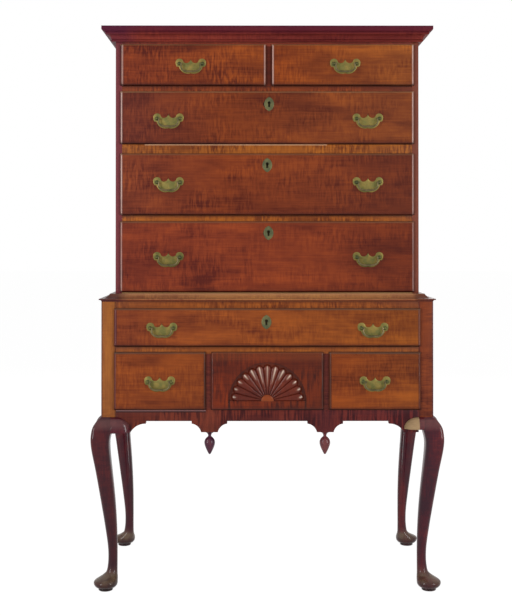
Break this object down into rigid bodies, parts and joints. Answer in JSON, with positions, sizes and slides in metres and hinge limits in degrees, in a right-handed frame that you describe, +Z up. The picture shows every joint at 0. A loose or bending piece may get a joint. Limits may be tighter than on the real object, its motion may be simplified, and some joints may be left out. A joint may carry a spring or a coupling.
{
  "type": "highboy",
  "caption": "Flat-top highboy of figured maple: a tall chest of drawers on a lower case with a carved fan drawer, scalloped apron, cabriole legs, pad feet and brass bail pulls.",
  "frame": {"origin": "on the floor, under the middle of the highboy", "axes": "+Z up, drawers open towards -Y, +X to the right as seen from the front"},
  "size_m": [1.0762, 0.5712, 1.727],
  "materials": {
    "tiger_maple": "aged shellac, satin",
    "maple_front": "aged shellac, satin",
    "pine": "unfinished, planed",
    "brass": "aged, dull polish",
    "iron": "filed, dark"
  },
  "bodies": {
    "case": {"front_left_leg": "tiger_maple", "front_right_leg": "tiger_maple", "rear_left_leg": "tiger_maple", "rear_right_leg": "tiger_maple", "front_apron": "tiger_maple", "drop_pendants": "tiger_maple", "knee_blocks": "tiger_maple", "lower_side_panels": "tiger_maple", "lower_drawer_blades": "tiger_maple", "waist_moulding": "tiger_maple", "upper_left_side": "tiger_maple", "upper_right_side": "tiger_maple", "upper_drawer_blades": "tiger_maple", "cornice_moulding": "tiger_maple", "lower_back_board": "pine", "drawer_runners": "pine", "upper_top_and_bottom_boards": "pine", "upper_back_boards": "pine"},
    "drawer_top_left": {"drawer_front_top_left": "maple_front", "drawer_box_top_left": "pine", "brasses_top_left": "brass"},
    "drawer_top_right": {"drawer_front_top_right": "maple_front", "drawer_box_top_right": "pine", "brasses_top_right": "brass"},
    "drawer_second": {"drawer_front_second": "maple_front", "drawer_box_second": "pine", "brasses_second": "brass"},
    "drawer_third": {"drawer_front_third": "maple_front", "drawer_box_third": "pine", "brasses_third": "brass"},
    "drawer_fourth": {"drawer_front_fourth": "maple_front", "drawer_box_fourth": "pine", "brasses_fourth": "brass"},
    "drawer_lower_long": {"drawer_front_lower_long": "maple_front", "drawer_box_lower_long": "pine", "brasses_lower_long": "brass"},
    "drawer_lower_left": {"drawer_front_lower_left": "maple_front", "drawer_box_lower_left": "pine", "brasses_lower_left": "brass"},
    "drawer_lower_centre": {"drawer_front_lower_centre": "maple_front", "drawer_box_lower_centre": "pine"},
    "drawer_lower_right": {"drawer_front_lower_right": "maple_front", "drawer_box_lower_right": "pine", "brasses_lower_right": "brass"},
    "bail_top_left": {"bail_top_left": "brass"},
    "bail_top_right": {"bail_top_right": "brass"},
    "bail_second_left": {"bail_second_left": "brass"},
    "bail_second_right": {"bail_second_right": "brass"},
    "bail_third_left": {"bail_third_left": "brass"},
    "bail_third_right": {"bail_third_right": "brass"},
    "bail_fourth_left": {"bail_fourth_left": "brass"},
    "bail_fourth_right": {"bail_fourth_right": "brass"},
    "bail_lower_long_left": {"bail_lower_long_left": "brass"},
    "bail_lower_long_right": {"bail_lower_long_right": "brass"},
    "bail_lower_left": {"bail_lower_left": "brass"},
    "bail_lower_right": {"bail_lower_right": "brass"},
    "lock_bolt_second": {"lock_bolt_second": "iron"},
    "lock_bolt_third": {"lock_bolt_third": "iron"},
    "lock_bolt_fourth": {"lock_bolt_fourth": "iron"},
    "lock_bolt_lower_long": {"lock_bolt_lower_long": "iron"}
  },
  "joints": [
    {"name": "slide_top_left", "type": "slide", "parent": "case", "child": "drawer_top_left", "axis": [0, -1, 0], "range_m": [0, 0.32]},
    {"name": "slide_top_right", "type": "slide", "parent": "case", "child": "drawer_top_right", "axis": [0, -1, 0], "range_m": [0, 0.32]},
    {"name": "slide_second", "type": "slide", "parent": "case", "child": "drawer_second", "axis": [0, -1, 0], "range_m": [0, 0.32]},
    {"name": "slide_third", "type": "slide", "parent": "case", "child": "drawer_third", "axis": [0, -1, 0], "range_m": [0, 0.32]},
    {"name": "slide_fourth", "type": "slide", "parent": "case", "child": "drawer_fourth", "axis": [0, -1, 0], "range_m": [0, 0.32]},
    {"name": "slide_lower_long", "type": "slide", "parent": "case", "child": "drawer_lower_long", "axis": [0, -1, 0], "range_m": [0, 0.35]},
    {"name": "slide_lower_left", "type": "slide", "parent": "case", "child": "drawer_lower_left", "axis": [0, -1, 0], "range_m": [0, 0.35]},
    {"name": "slide_lower_centre", "type": "slide", "parent": "case", "child": "drawer_lower_centre", "axis": [0, -1, 0], "range_m": [0, 0.35]},
    {"name": "slide_lower_right", "type": "slide", "parent": "case", "child": "drawer_lower_right", "axis": [0, -1, 0], "range_m": [0, 0.35]},
    {"name": "swing_top_left", "type": "hinge", "parent": "drawer_top_left", "child": "bail_top_left", "pos_m": [-0.23605, -0.2361, 1.6144], "axis": [-1, 0, 0], "range_deg": [0, 100]},
    {"name": "swing_top_right", "type": "hinge", "parent": "drawer_top_right", "child": "bail_top_right", "pos_m": [0.24105, -0.2361, 1.6144], "axis": [-1, 0, 0], "range_deg": [0, 100]},
    {"name": "swing_second_left", "type": "hinge", "parent": "drawer_second", "child": "bail_second_left", "pos_m": [-0.305, -0.2361, 1.4448], "axis": [-1, 0, 0], "range_deg": [0, 100]},
    {"name": "swing_second_right", "type": "hinge", "parent": "drawer_second", "child": "bail_second_right", "pos_m": [0.311, -0.2361, 1.4448], "axis": [-1, 0, 0], "range_deg": [0, 100]},
    {"name": "swing_third_left", "type": "hinge", "parent": "drawer_third", "child": "bail_third_left", "pos_m": [-0.305, -0.2361, 1.24805], "axis": [-1, 0, 0], "range_deg": [0, 100]},
    {"name": "swing_third_right", "type": "hinge", "parent": "drawer_third", "child": "bail_third_right", "pos_m": [0.311, -0.2361, 1.24805], "axis": [-1, 0, 0], "range_deg": [0, 100]},
    {"name": "swing_fourth_left", "type": "hinge", "parent": "drawer_fourth", "child": "bail_fourth_left", "pos_m": [-0.305, -0.2361, 1.01695], "axis": [-1, 0, 0], "range_deg": [0, 100]},
    {"name": "swing_fourth_right", "type": "hinge", "parent": "drawer_fourth", "child": "bail_fourth_right", "pos_m": [0.311, -0.2361, 1.01695], "axis": [-1, 0, 0], "range_deg": [0, 100]},
    {"name": "swing_lower_long_left", "type": "hinge", "parent": "drawer_lower_long", "child": "bail_lower_long_left", "pos_m": [-0.322, -0.2741, 0.802], "axis": [-1, 0, 0], "range_deg": [0, 100]},
    {"name": "swing_lower_long_right", "type": "hinge", "parent": "drawer_lower_long", "child": "bail_lower_long_right", "pos_m": [0.322, -0.2741, 0.802], "axis": [-1, 0, 0], "range_deg": [0, 100]},
    {"name": "swing_lower_left", "type": "hinge", "parent": "drawer_lower_left", "child": "bail_lower_left", "pos_m": [-0.3283, -0.2741, 0.6386], "axis": [-1, 0, 0], "range_deg": [0, 100]},
    {"name": "swing_lower_right", "type": "hinge", "parent": "drawer_lower_right", "child": "bail_lower_right", "pos_m": [0.3283, -0.2741, 0.6386], "axis": [-1, 0, 0], "range_deg": [0, 100]},
    {"name": "throw_second", "type": "slide", "parent": "drawer_second", "child": "lock_bolt_second", "axis": [0, 0, 1], "range_m": [0, 0.007]},
    {"name": "throw_third", "type": "slide", "parent": "drawer_third", "child": "lock_bolt_third", "axis": [0, 0, 1], "range_m": [0, 0.007]},
    {"name": "throw_fourth", "type": "slide", "parent": "drawer_fourth", "child": "lock_bolt_fourth", "axis": [0, 0, 1], "range_m": [0, 0.007]},
    {"name": "throw_lower_long", "type": "slide", "parent": "drawer_lower_long", "child": "lock_bolt_lower_long", "axis": [0, 0, 1], "range_m": [0, 0.007]}
  ]
}
